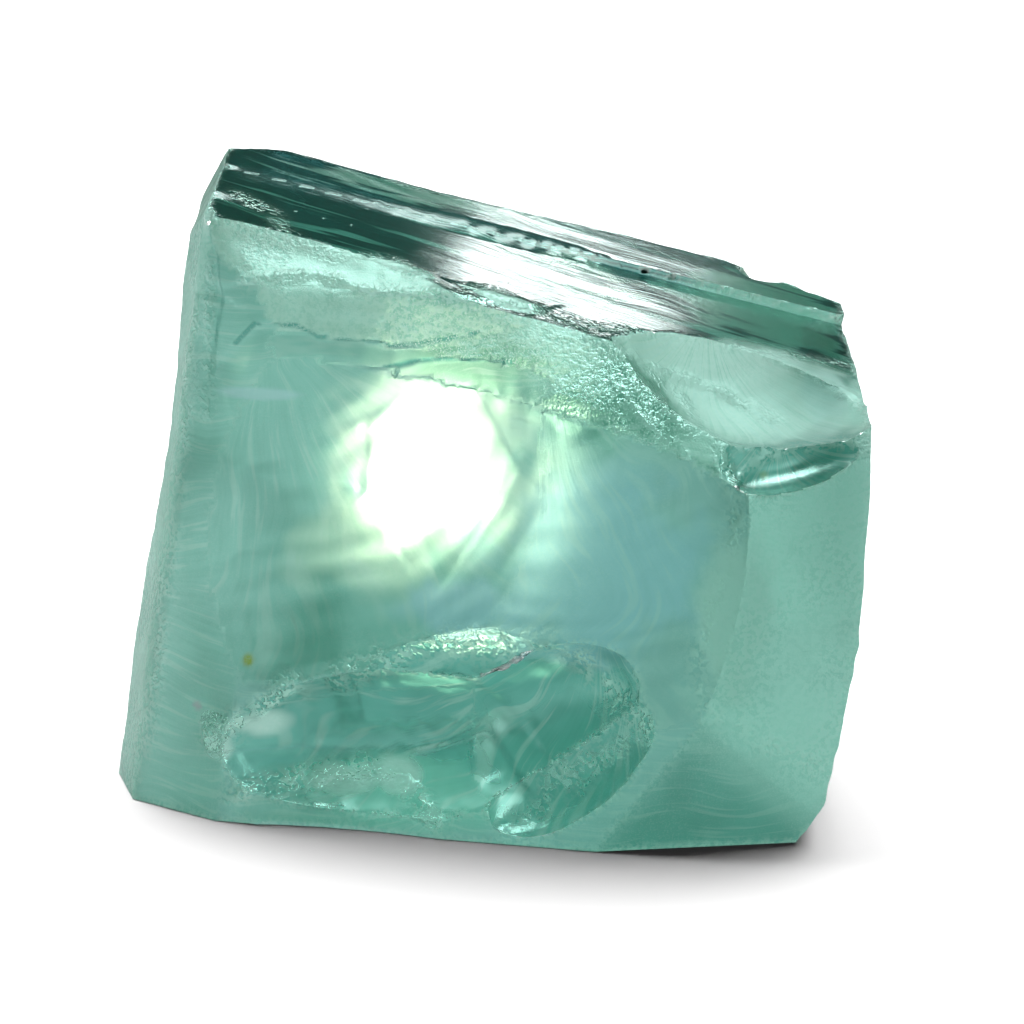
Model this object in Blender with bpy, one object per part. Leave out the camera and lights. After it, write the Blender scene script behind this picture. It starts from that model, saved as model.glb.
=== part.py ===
"""A rough aquamarine: one lump of clear beryl, 47 mm wide, standing on its broken foot.

It is made as the stone was. A block is split along flat planes, its striated top is
stepped down along the crystal, and shells of rock are then knocked off its sides, each
of which leaves a hollow. The ridges are where two hollows meet.

X runs along the stone, Y from its struck front to its back, and Z up. The origin is the
middle of the foot. Lengths are in millimetres here, and the meshes are in metres.
"""

import math
from collections import namedtuple

import bmesh
import bpy
from mathutils import Matrix, Vector

MM = 0.001
UP = Vector((0.0, 0.0, 1.0))

# The block that the stone is split from, which reaches below the foot.
BLOCK = Vector((60.0, 40.0, 60.0))
BLOCK_BELOW_FOOT = 5.0

# The striated prism face on top: its height over the origin, and its fall along the
# stone and rise to the back, as slopes.
TOP_LEVEL = 34.63
TOP_FALL_X = 0.248
TOP_RISE_Y = 0.16
TOP_FACING = (TOP_FALL_X, -TOP_RISE_Y, 1.0)

# The flat breaks: a point on each, and the way it faces.
SPLITS = {
    "foot": ((0.0, 0.0, 0.0), (0.0, 0.0, -1.0)),
    "top": ((0.0, 0.0, TOP_LEVEL), TOP_FACING),
    "front": ((7.2, -13.2, 0.0), (-0.216, -0.976, 0.046)),
    "front_right": ((13.6, -14.2, 8.5), (0.28, -0.96, -0.023)),
    "heel": ((13.6, -14.2, 8.5), (0.12, -0.971, -0.204)),
    "brow": ((-14.3, -4.6, 37.4), (0.05, -0.80, 0.60)),
    "right": ((23.5, 0.7, 20.0), (1.0, 0.0, -0.03)),
    "right_heel": ((23.3, -9.3, 12.0), (0.985, -0.08, -0.17)),
    "right_toe": ((21.9, -9.3, 2.4), (0.80, -0.15, -0.58)),
    "left": ((-23.75, 1.2, 0.0), (-1.0, 0.0, 0.16)),
    "left_cheek": ((-23.55, 0.2, 0.0), (-0.95, -0.30, 0.152)),
    "left_front": ((-16.9, -7.7, 0.0), (-0.56, -0.82, 0.10)),
    "back": ((2.2, 14.2, 0.0), (0.03, 0.99, 0.08)),
    "back_left": ((-15.8, 9.5, 39.0), (-0.62, 0.78, 0.10)),
    "back_right": ((20.2, 9.7, 30.0), (0.42, 0.90, 0.12)),
    "left_shoulder": ((-16.3, 2.6, 39.1), (-0.866, -0.066, 0.495)),
}

# A step down of the top face, on the front side of its riser: a point of the riser, its
# drop there, and its turn about the top's facing and its fall along the stone, in degrees.
Step = namedtuple("Step", "at drop turn fall")
STEP_SLAB = Vector((90.0, 30.0, 6.0))
STEPS = (
    Step((-17.8, -0.5), 0.30, -2.0, 0.5),
    Step((18.2, 2.3), 0.22, 1.5, -0.5),
    Step((-17.8, 5.7), 0.26, -1.0, 0.6),
)

# A knocked-off shell: the middle of its outline, the way its hollow opens, half its
# length, height and depth, how shallow its walls are (0 steep, 1 flat), its turn about
# the way it opens, and the bearing of the blow round its outline, both in degrees.
Shell = namedtuple("Shell", "at opens length height depth slack turn blow")
SHELLS = {
    "fan_low": Shell((15.1, -9.9, 27.7), (0.02, -0.70, 0.71), 7.0, 2.7, 1.7, 0.60, -38.0, 200.0),
    "fan_high": Shell((16.2, -7.7, 28.4), (0.18, -0.50, 0.85), 7.5, 5.3, 2.9, 0.55, -38.0, 120.0),
    "pit": Shell((19.0, -12.6, 24.4), (0.20, -0.88, 0.30), 4.0, 1.7, 2.2, 0.30, 12.0, 90.0),
    "bevel_flake": Shell((-10.4, -5.1, 35.1), (0.05, -0.55, 0.83), 9.5, 2.2, 0.7, 0.70, -11.0, 30.0),
    "upper_ledge": Shell((-4.4, -8.0, 31.6), (-0.07, -0.86, 0.50), 11.4, 3.0, 0.9, 0.78, -6.0, 30.0),
    "lower_ledge": Shell((-4.2, -9.2, 29.6), (-0.15, -0.92, 0.38), 13.0, 2.4, 1.4, 0.70, -3.0, 30.0),
    "front_hollow": Shell((-6.2, -9.2, 20.0), (-0.27, -0.96, 0.07), 13.6, 10.8, 2.5, 0.80, 20.0, 100.0),
    "face_hollow": Shell((8.4, -12.3, 17.6), (-0.21, -0.97, 0.06), 8.6, 9.6, 0.9, 0.90, 10.0, 100.0),
    "foot_hollow": Shell((-4.4, -10.7, 6.2), (-0.22, -0.97, -0.02), 12.6, 5.2, 3.0, 0.50, 8.0, 30.0),
    "foot_hollow_right": Shell((2.9, -11.8, 7.9), (-0.10, -0.99, -0.06), 7.8, 4.2, 3.4, 0.50, 32.0, 30.0),
    "toe_lens": Shell((-8.7, -9.7, 1.2), (-0.22, -0.95, -0.20), 7.4, 1.4, 0.6, 0.60, -2.0, 30.0),
    "shoulder_notch": Shell((-16.5, -3.4, 37.9), (-0.80, -0.25, 0.55), 3.4, 0.9, 0.7, 0.30, -20.0, 60.0),
    "left_high": Shell((-20.4, 2.2, 23.0), (-1.0, -0.05, 0.16), 11.0, 12.0, 0.8, 0.90, 10.0, 60.0),
    "left_low": Shell((-22.4, 5.2, 6.0), (-0.93, 0.32, 0.05), 7.5, 7.0, 1.1, 0.80, -20.0, 60.0),
    "right_side": Shell((23.6, 1.7, 15.0), (1.0, 0.12, -0.02), 13.0, 14.0, 1.5, 0.88, 20.0, 120.0),
    "right_back": Shell((22.2, 10.2, 17.5), (0.80, 0.58, 0.05), 6.0, 9.0, 1.8, 0.75, 15.0, 120.0),
    "back_high": Shell((-2.8, 13.9, 27.0), (0.06, 0.97, 0.22), 21.0, 12.5, 2.3, 0.86, 12.0, 90.0),
    "back_low": Shell((13.2, 14.3, 8.0), (0.16, 0.98, -0.05), 15.0, 12.0, 2.4, 0.82, -25.0, 40.0),
    "back_left_low": Shell((-14.8, 12.2, 8.0), (-0.42, 0.90, -0.05), 12.0, 13.0, 2.6, 0.80, 25.0, 200.0),
    "back_toe": Shell((-1.8, 12.7, 0.6), (-0.10, 0.75, -0.66), 9.0, 3.6, 1.4, 0.70, 3.0, 60.0),
}
SHELL_SEGMENTS = 48

# A hollow isn't quite round: shallow lobes spread across it from the point of the blow.
LOBES = 5
LOBE_SWELL = 0.012

# Clear, pale blue-green beryl.
BERYL_COLOUR = (0.18, 0.48, 0.37, 1.0)
BERYL_ROUGHNESS = 0.12
BERYL_IOR = 1.577


def cleave(stone, point, facing):
    """Splits off all that lies past a plane, and closes the break with one flat face."""
    geometry = stone.verts[:] + stone.edges[:] + stone.faces[:]
    cut = bmesh.ops.bisect_plane(
        stone, geom=geometry, dist=1e-7, plane_co=point, plane_no=facing, clear_outer=True
    )
    rim = [item for item in cut["geom_cut"] if isinstance(item, bmesh.types.BMEdge)]
    bmesh.ops.contextual_create(stone, geom=rim)


def finished_mesh(name, shape):
    mesh = bpy.data.meshes.new(name)
    shape.to_mesh(mesh)
    shape.free()
    return mesh


def split_block(name):
    """The block after its flat breaks, before any shell is knocked off it."""
    stone = bmesh.new()
    bmesh.ops.create_cube(stone, size=1.0)
    bmesh.ops.scale(stone, vec=BLOCK * MM, verts=stone.verts)
    bmesh.ops.translate(stone, vec=UP * (BLOCK.z / 2 - BLOCK_BELOW_FOOT) * MM, verts=stone.verts)
    for point, facing in SPLITS.values():
        cleave(stone, Vector(point) * MM, Vector(facing).normalized())
    return finished_mesh(name, stone)


def step_mesh(name, step):
    """A long wedge lying on the top face, which takes the front side of a riser down."""
    slab = bmesh.new()
    bmesh.ops.create_cube(slab, size=1.0)
    bmesh.ops.translate(slab, vec=Vector((0.0, -0.5, 0.5)), verts=slab.verts)
    bmesh.ops.scale(slab, vec=STEP_SLAB * MM, verts=slab.verts)
    turn = Matrix.Rotation(math.radians(step.turn), 3, "Z")
    fall = Matrix.Rotation(math.radians(step.fall), 3, "Y")
    lie_on_top = UP.rotation_difference(Vector(TOP_FACING)).to_matrix()
    bmesh.ops.rotate(slab, cent=Vector(), matrix=lie_on_top @ turn @ fall, verts=slab.verts)
    x, y = step.at
    level = TOP_LEVEL - TOP_FALL_X * x + TOP_RISE_Y * y - step.drop
    bmesh.ops.translate(slab, vec=Vector((x, y, level)) * MM, verts=slab.verts)
    return finished_mesh(name, slab)


def shell_frame(shell):
    """Takes local X along a shell's length, Y along its height and Z the way it opens."""
    out = Vector(shell.opens).normalized()
    across = UP.cross(out).normalized()
    frame = Matrix((across, out.cross(across), out)).transposed()
    return frame @ Matrix.Rotation(math.radians(shell.turn), 3, "Z")


def shell_mesh(name, shell):
    """The lens of rock that a blow knocks off: an ellipsoid, lobed round the blow."""
    reach = shell.depth / (1.0 - shell.slack)
    spread = math.sqrt(1.0 - shell.slack**2)
    radii = Vector((shell.length / spread, shell.height / spread, reach))
    blow = math.radians(shell.blow)
    struck = Vector((math.cos(blow), math.sin(blow), -shell.slack))
    lens = bmesh.new()
    bmesh.ops.create_uvsphere(
        lens, u_segments=SHELL_SEGMENTS, v_segments=SHELL_SEGMENTS // 2, radius=1.0
    )
    for vert in lens.verts:
        lobe = math.sin(LOBES * math.atan2(vert.co.y, vert.co.x) + blow)
        vert.co *= 1.0 + LOBE_SWELL * lobe * (1.0 - vert.co.z**2)
    to_blow = UP.rotation_difference(struck).to_matrix()
    bmesh.ops.rotate(lens, cent=Vector(), matrix=to_blow, verts=lens.verts)
    bmesh.ops.scale(lens, vec=radii * MM, verts=lens.verts)
    bmesh.ops.rotate(lens, cent=Vector(), matrix=shell_frame(shell), verts=lens.verts)
    middle = Vector(shell.at) + Vector(shell.opens).normalized() * (reach - shell.depth)
    bmesh.ops.translate(lens, vec=middle * MM, verts=lens.verts)
    return finished_mesh(name, lens)


def knock_off(stone, cutter_mesh, cutters):
    cutter = bpy.data.objects.new(cutter_mesh.name, cutter_mesh)
    cutters.objects.link(cutter)
    cutter.hide_render = True
    cutter.display_type = "WIRE"
    cut = stone.modifiers.new(cutter.name, "BOOLEAN")
    cut.operation = "DIFFERENCE"
    cut.solver = "EXACT"
    cut.object = cutter


def beryl():
    material = bpy.data.materials.new("beryl")
    material.use_nodes = True
    finish = material.node_tree.nodes["Principled BSDF"].inputs
    finish["Base Color"].default_value = BERYL_COLOUR
    finish["Roughness"].default_value = BERYL_ROUGHNESS
    finish["Metallic"].default_value = 0.0
    finish["IOR"].default_value = BERYL_IOR
    finish["Transmission Weight"].default_value = 1.0
    return material


def new_collection(name):
    collection = bpy.data.collections.new(name)
    bpy.context.scene.collection.children.link(collection)
    return collection


def main():
    for item in list(bpy.data.objects):
        bpy.data.objects.remove(item)
    parts = new_collection("rough_aquamarine")
    cutters = new_collection("cutters")
    stone = bpy.data.objects.new("aquamarine", split_block("aquamarine"))
    stone.data.materials.append(beryl())
    parts.objects.link(stone)
    for number, step in enumerate(STEPS, start=1):
        knock_off(stone, step_mesh(f"top_step_{number}", step), cutters)
    for name, shell in SHELLS.items():
        knock_off(stone, shell_mesh(name, shell), cutters)


main()
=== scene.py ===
"""Rough aquamarine: one broken block of clear green-blue beryl, resting on its foot.

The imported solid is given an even, fine skin. Each cleaved face and each struck hollow then gets its own ripples,
streaks, frosting and tint, and the ridges between them are chipped. Lengths in the tables are in millimetres.
"""
import math
from collections import namedtuple

import bmesh
import bpy
import numpy as np
from mathutils import Matrix, Vector


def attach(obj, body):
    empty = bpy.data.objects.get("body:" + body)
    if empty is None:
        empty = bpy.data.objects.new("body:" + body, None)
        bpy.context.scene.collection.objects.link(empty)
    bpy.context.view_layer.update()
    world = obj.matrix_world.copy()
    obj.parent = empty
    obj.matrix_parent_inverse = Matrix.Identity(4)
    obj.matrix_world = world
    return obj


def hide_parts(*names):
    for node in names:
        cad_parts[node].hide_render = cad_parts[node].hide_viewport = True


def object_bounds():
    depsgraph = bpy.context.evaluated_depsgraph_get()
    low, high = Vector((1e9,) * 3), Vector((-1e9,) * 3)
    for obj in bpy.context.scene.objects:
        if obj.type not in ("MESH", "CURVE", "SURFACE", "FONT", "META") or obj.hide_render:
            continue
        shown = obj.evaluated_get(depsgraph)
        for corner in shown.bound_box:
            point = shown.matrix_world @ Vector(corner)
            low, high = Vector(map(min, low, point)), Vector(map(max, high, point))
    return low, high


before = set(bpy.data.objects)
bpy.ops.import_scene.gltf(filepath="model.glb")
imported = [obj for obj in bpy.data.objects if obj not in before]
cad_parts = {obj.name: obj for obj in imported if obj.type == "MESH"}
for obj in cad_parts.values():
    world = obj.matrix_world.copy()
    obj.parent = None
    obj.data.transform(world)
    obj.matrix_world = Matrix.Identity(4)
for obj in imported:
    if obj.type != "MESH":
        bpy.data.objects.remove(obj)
CAD_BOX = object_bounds()

MM = 0.001
UP = Vector((0, 0, 1))

# ---------------------------------------------------------------------------------------------------------------
# The stone's surfaces. A finish says how a surface is coloured and frosted, and how strongly it shows dark streaks,
# pale wisps (veil) and sugary grain.

Finish = namedtuple("Finish", "tint frost streak veil grain")

FINISHES = {
    "dark_top": Finish((0.30, 0.84, 0.82), 0.12, 0.90, 0.0, 0.0),
    "bevel": Finish((0.90, 1.00, 0.91), 0.46, 0.05, 0.7, 1.0),
    "clear": Finish((0.32, 0.62, 0.57), 0.36, 0.05, 0.4, 0.10),
    "haze": Finish((0.44, 0.64, 0.68), 0.50, 0.0, 0.3, 0.10),
    "frosted": Finish((0.82, 1.0, 0.97), 0.62, 0.0, 0.0, 0.5),
    "granular": Finish((0.62, 0.92, 0.84), 0.50, 0.0, 0.0, 1.0),
    "smooth_low": Finish((0.12, 0.35, 0.32), 0.34, 0.0, 0.2, 0.1),
    # Painted shade: a dark tint on the hollows, pits and chips.
    "shaded_hollow": Finish((0.10, 0.40, 0.37), 0.24, 0.05, 0.4, 0.0),
    "cream": Finish((1.00, 1.00, 0.93), 0.64, 0.0, 1.0, 0.2),
    "crust": Finish((0.74, 0.92, 0.86), 0.36, 0.0, 0.3, 0.3),
}

# A cleave is a flat broken or grown face: a place on it and the way it faces.
Cleave = namedtuple("Cleave", "at facing finish")

CLEAVES = {
    "foot": Cleave((0, 0, 0), (0, 0, -1), "crust"),
    "top": Cleave((0, 0, 34.63), (0.248, -0.16, 1.0), "dark_top"),
    "front": Cleave((7.2, -13.2, 0), (-0.216, -0.976, 0.046), "haze"),
    "front_right": Cleave((13.6, -14.2, 8.5), (0.28, -0.96, -0.023), "frosted"),
    "heel": Cleave((13.6, -14.2, 8.5), (0.12, -0.971, -0.204), "smooth_low"),
    "brow": Cleave((-14.3, -4.6, 37.4), (0.05, -0.80, 0.60), "bevel"),
    "right": Cleave((23.5, 0.7, 20.0), (1, 0, -0.03), "crust"),
    "right_heel": Cleave((23.3, -9.3, 12.0), (0.985, -0.08, -0.17), "crust"),
    "right_toe": Cleave((21.9, -9.3, 2.4), (0.80, -0.15, -0.58), "crust"),
    "left": Cleave((-23.75, 1.2, 0), (-1, 0, 0.16), "granular"),
    "left_cheek": Cleave((-23.55, 0.2, 0), (-0.95, -0.30, 0.152), "granular"),
    "left_front": Cleave((-16.9, -7.7, 0), (-0.56, -0.82, 0.10), "clear"),
    "back": Cleave((2.2, 14.2, 0), (0.03, 0.99, 0.08), "crust"),
    "back_left": Cleave((-15.8, 9.5, 39.0), (-0.62, 0.78, 0.10), "crust"),
    "back_right": Cleave((20.2, 9.7, 30.0), (0.42, 0.90, 0.12), "crust"),
    "left_shoulder": Cleave((-16.3, 2.6, 39.1), (-0.866, -0.066, 0.495), "bevel"),
}

# A hollow is struck in the block and flies out as a shell. slack is how far its bowl is cut short of half a ball,
# and blow is the direction in its plane, in degrees, from which it was struck.
Hollow = namedtuple("Hollow", "at opens length height depth slack turn blow finish")

HOLLOWS = {
    "fan_low": Hollow((15.1, -9.9, 27.7), (0.02, -0.70, 0.71), 7.0, 2.7, 1.7, 0.60, -38.0, 200.0, "cream"),
    "fan_high": Hollow((16.2, -7.7, 28.4), (0.18, -0.50, 0.85), 7.5, 5.3, 2.9, 0.55, -38.0, 120.0, "cream"),
    "pit": Hollow((19.0, -12.6, 24.4), (0.20, -0.88, 0.30), 4.0, 1.7, 2.2, 0.30, 12.0, 90.0, "shaded_hollow"),
    "bevel_flake": Hollow((-10.4, -5.1, 35.1), (0.05, -0.55, 0.83), 9.5, 2.2, 0.7, 0.70, -11.0, 30.0, "bevel"),
    "upper_ledge": Hollow((-4.4, -8.0, 31.6), (-0.07, -0.86, 0.50), 11.4, 3.0, 0.9, 0.78, -6.0, 30.0, "bevel"),
    "lower_ledge": Hollow((-4.2, -9.2, 29.6), (-0.15, -0.92, 0.38), 13.0, 2.4, 1.4, 0.70, -3.0, 30.0, "clear"),
    "front_hollow": Hollow((-6.2, -9.2, 20.0), (-0.27, -0.96, 0.07), 13.6, 10.8, 2.5, 0.80, 20.0, 100.0, "clear"),
    "face_hollow": Hollow((8.4, -12.3, 17.6), (-0.21, -0.97, 0.06), 8.6, 9.6, 0.9, 0.90, 10.0, 100.0, "haze"),
    "foot_hollow": Hollow((-4.4, -10.7, 6.2), (-0.22, -0.97, -0.02), 12.6, 5.2, 3.0, 0.50, 8.0, 30.0, "shaded_hollow"),
    "foot_hollow_right": Hollow((2.9, -11.8, 7.9), (-0.10, -0.99, -0.06), 7.8, 4.2, 3.4, 0.50, 32.0, 30.0, "shaded_hollow"),
    "toe_lens": Hollow((-8.7, -9.7, 1.2), (-0.22, -0.95, -0.20), 7.4, 1.4, 0.6, 0.60, -2.0, 30.0, "clear"),
    "shoulder_notch": Hollow((-16.5, -3.4, 37.9), (-0.80, -0.25, 0.55), 3.4, 0.9, 0.7, 0.30, -20.0, 60.0, "clear"),
    "left_high": Hollow((-20.4, 2.2, 23.0), (-1.0, -0.05, 0.16), 11.0, 12.0, 0.8, 0.90, 10.0, 60.0, "granular"),
    "left_low": Hollow((-22.4, 5.2, 6.0), (-0.93, 0.32, 0.05), 7.5, 7.0, 1.1, 0.80, -20.0, 60.0, "granular"),
    "right_side": Hollow((23.6, 1.7, 15.0), (1.0, 0.12, -0.02), 13.0, 14.0, 1.5, 0.88, 20.0, 120.0, "crust"),
    "right_back": Hollow((22.2, 10.2, 17.5), (0.80, 0.58, 0.05), 6.0, 9.0, 1.8, 0.75, 15.0, 120.0, "crust"),
    "back_high": Hollow((-2.8, 13.9, 27.0), (0.06, 0.97, 0.22), 21.0, 12.5, 2.3, 0.86, 12.0, 90.0, "crust"),
    "back_low": Hollow((13.2, 14.3, 8.0), (0.16, 0.98, -0.05), 15.0, 12.0, 2.4, 0.82, -25.0, 40.0, "crust"),
    "back_left_low": Hollow((-14.8, 12.2, 8.0), (-0.42, 0.90, -0.05), 12.0, 13.0, 2.6, 0.80, 25.0, 200.0, "crust"),
    "back_toe": Hollow((-1.8, 12.7, 0.6), (-0.10, 0.75, -0.66), 9.0, 3.6, 1.4, 0.70, 3.0, 60.0, "crust"),
}
# The rim of every hollow swells out in lobes.
LOBES = 5
LOBE_SWELL = 0.012

# A stroke is a broken line in the skin. rise lifts it to a crease, step sinks the skin on its lower side, and rime is
# the white bruising along it, painted as a white glint on arch_glint and toe_glint, or the darkness of an open crack
# where it is below nought.
Stroke = namedtuple("Stroke", "points width rise step rime")

STROKES = {
    "bevel_crack": Stroke(((-14.8, -5.5, 30.1), (-13.5, -6.2, 31.5), (-10.9, -6.8, 31.6), (-9.6, -7.0, 30.8),
                           (-7.9, -7.2, 30.7), (-4.8, -7.6, 30.5), (-2.1, -7.6, 30.8), (0.1, -7.7, 31.3)),
                          0.22, 0.03, 0.22, -0.8),
    "bevel_edge": Stroke(((-14.1, -5.5, 34.0), (-12.4, -5.5, 34.3), (-9.7, -5.0, 34.3), (-6.5, -6.1, 33.7),
                          (-2.1, -6.8, 33.4), (1.3, -6.1, 32.9)), 0.40, 0.12, 0.20, 0.8),
    "top_edge": Stroke(((-14.8, 1.3, 38.5), (-12.7, -0.2, 37.7), (-11.0, -3.8, 36.8), (-9.0, -4.9, 36.1),
                        (-5.1, -3.3, 35.4), (-1.3, -5.4, 34.1), (1.3, -4.3, 33.6), (4.7, -6.6, 32.4),
                        (7.5, -6.0, 31.8)),
                       0.40, 0.0, 0.0, 0.8),
    "fan_brink": Stroke(((7.5, -6.0, 31.8), (11.2, -5.2, 31.0), (15.0, -4.0, 30.3), (19.5, -2.7, 29.4),
                         (24.0, -1.3, 28.5)), 0.40, 0.0, 0.0, 0.7),
    "brow_rime": Stroke(((0.2, -4.9, 33.3), (3.9, -5.7, 32.2), (7.7, -8.4, 30.6)), 0.55, 0.05, 0.10, 0.9),
    "lens_lip": Stroke(((-5.5, -7.7, 29.1), (-3.5, -7.9, 29.6), (-2.1, -8.1, 29.7), (2.1, -9.0, 29.8)),
                       0.28, 0.05, 0.18, -0.8),
    "hollow_lip": Stroke(((-6.5, -7.6, 29.0), (-4.7, -7.8, 28.5), (-2.1, -8.6, 28.4), (-0.1, -9.3, 28.1)),
                         0.28, 0.05, 0.12, 0.25),
    "face_line": Stroke(((3.3, -10.9, 27.5), (8.0, -11.5, 26.0), (12.1, -12.2, 25.0), (15.0, -13.0, 23.7)),
                        0.25, 0.02, 0.10, -0.45),
    "left_band": Stroke(((-17.9, -3.3, 30.5), (-18.7, -3.5, 24.2), (-19.5, -3.7, 17.8), (-20.6, -3.9, 10.6),
                         (-21.5, -4.1, 4.0)), 0.75, 0.0, 0.0, 0.55),
    "brow_hackle": Stroke(((8.7, -11.0, 29.0), (9.7, -11.4, 27.6), (11.4, -11.9, 25.9), (13.4, -13.0, 24.0)),
                          0.28, 0.10, 0.0, 0.8),
    "brow_nick": Stroke(((9.7, -10.4, 29.0), (11.4, -10.8, 27.7), (13.0, -11.6, 26.0)), 0.28, 0.10, 0.0, 0.8),
    "window_vein": Stroke(((-8.8, -8.4, 27.2), (-7.0, -8.9, 24.9), (-7.6, -8.9, 21.1), (-5.2, -9.6, 17.5)),
                          0.22, 0.0, 0.05, -0.32),
    "glow_vein": Stroke(((0.3, -10.4, 26.5), (2.1, -11.0, 23.5), (-0.3, -10.6, 19.7), (-2.8, -10.2, 15.8)),
                        0.22, 0.0, 0.05, -0.32),
    "left_vein": Stroke(((-15.9, -6.9, 25.6), (-14.8, -7.3, 22.0), (-15.3, -7.4, 16.9), (-14.0, -7.9, 11.9)),
                        0.22, 0.0, 0.08, -0.40),
    "cheek_crack": Stroke(((-17.2, -2.9, 37.6), (-16.0, -4.0, 35.6), (-15.5, -4.7, 32.7), (-16.1, -4.6, 29.5)),
                          0.22, 0.03, 0.12, -0.6),
    "facet_edge": Stroke(((15.2, -13.3, 23.3), (15.5, -13.4, 21.3), (14.2, -13.1, 16.1), (13.4, -13.4, 12.5),
                          (13.3, -13.9, 9.9)), 0.45, 0.0, 0.0, 0.55),
    "heel_edge": Stroke(((13.8, -14.1, 9.5), (16.9, -13.2, 7.2), (20.9, -12.0, 5.2)), 0.50, 0.0, 0.0, 0.55),
    "fan_edge": Stroke(((7.7, -8.4, 30.6), (10.7, -6.7, 28.4), (12.6, -6.3, 27.1), (13.9, -8.7, 25.6),
                        (14.6, -12.2, 24.8), (15.5, -12.9, 23.7)), 0.35, 0.05, 0.0, 0.8),
    "fan_crease": Stroke(((7.9, -7.7, 30.9), (14.5, -4.8, 27.4), (18.3, -6.6, 25.6)), 0.35, 0.18, 0.0, 0.7),
    "arch": Stroke(((-8.3, -8.4, 9.5), (-7.1, -8.9, 10.7), (-4.6, -9.4, 11.5), (-1.6, -10.3, 12.4),
                    (1.3, -11.1, 12.4), (4.3, -11.3, 12.7), (7.3, -10.0, 10.5), (8.7, -11.4, 9.1),
                    (10.1, -13.4, 8.1)), 0.60, 0.05, 0.0, 0.85),
    # arch_glint and toe_glint paint white glints.
    "arch_glint": Stroke(((-17.0, -7.0, 5.3), (-14.2, -7.7, 6.9), (-11.3, -8.1, 8.7)), 0.55, 0.25, 0.0, 1.0),
    "toe_glint": Stroke(((-15.4, -8.1, 1.8), (-12.0, -8.2, 2.6), (-8.4, -7.5, 3.2), (-4.8, -8.1, 3.4),
                         (-3.2, -10.5, 1.5), (-2.0, -11.1, 0.7)), 0.45, 0.22, 0.0, 1.0),
    "low_ridge": Stroke(((10.1, -13.4, 8.1), (7.2, -12.9, 6.0), (4.3, -12.2, 3.7), (1.9, -12.0, 1.0)),
                        0.35, 0.08, 0.0, 0.45),
    "block_side": Stroke(((-1.7, -8.3, 5.4), (0.7, -8.5, 6.5), (3.1, -10.5, 3.2)), 0.40, 0.0, 0.30, -0.6),
    "block_top": Stroke(((1.5, -8.6, 8.3), (4.8, -10.9, 4.7)), 0.40, 0.0, 0.25, -0.5),
    "cheek_edge": Stroke(((-16.2, -3.1, 37.1), (-16.4, -4.2, 31.9), (-16.5, -4.5, 28.4), (-16.8, -4.7, 25.7)),
                         0.45, 0.05, 0.0, 0.35),
}

# A patch is a soft spot of another tint and frost in the skin. size is how far it reaches along each axis, and share
# how strongly it shows.
Patch = namedtuple("Patch", "at size tint frost streak veil share")

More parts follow.
